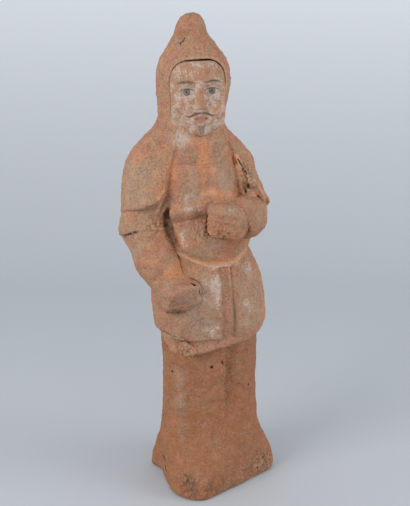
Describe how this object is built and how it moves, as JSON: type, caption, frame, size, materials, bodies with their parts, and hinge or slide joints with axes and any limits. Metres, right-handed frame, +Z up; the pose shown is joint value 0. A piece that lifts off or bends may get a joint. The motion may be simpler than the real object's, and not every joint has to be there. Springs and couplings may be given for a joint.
{
  "type": "hooded warrior statue",
  "caption": "Standing hooded warrior figure in fired clay, one fist at the chest and one at the hip, on a flared flat base.",
  "frame": {"origin": "on the flat underside, below the middle of the legs", "axes": "+Z up to the tip of the hood, -Y the way the figure faces, +X towards its left hand"},
  "size_m": [0.2474, 0.177, 0.7029],
  "materials": {
    "terracotta": "unglazed fired clay, matt and worn, with remains of white slip"
  },
  "bodies": {
    "root": {"warrior_statue": "terracotta"}
  },
  "joints": []
}
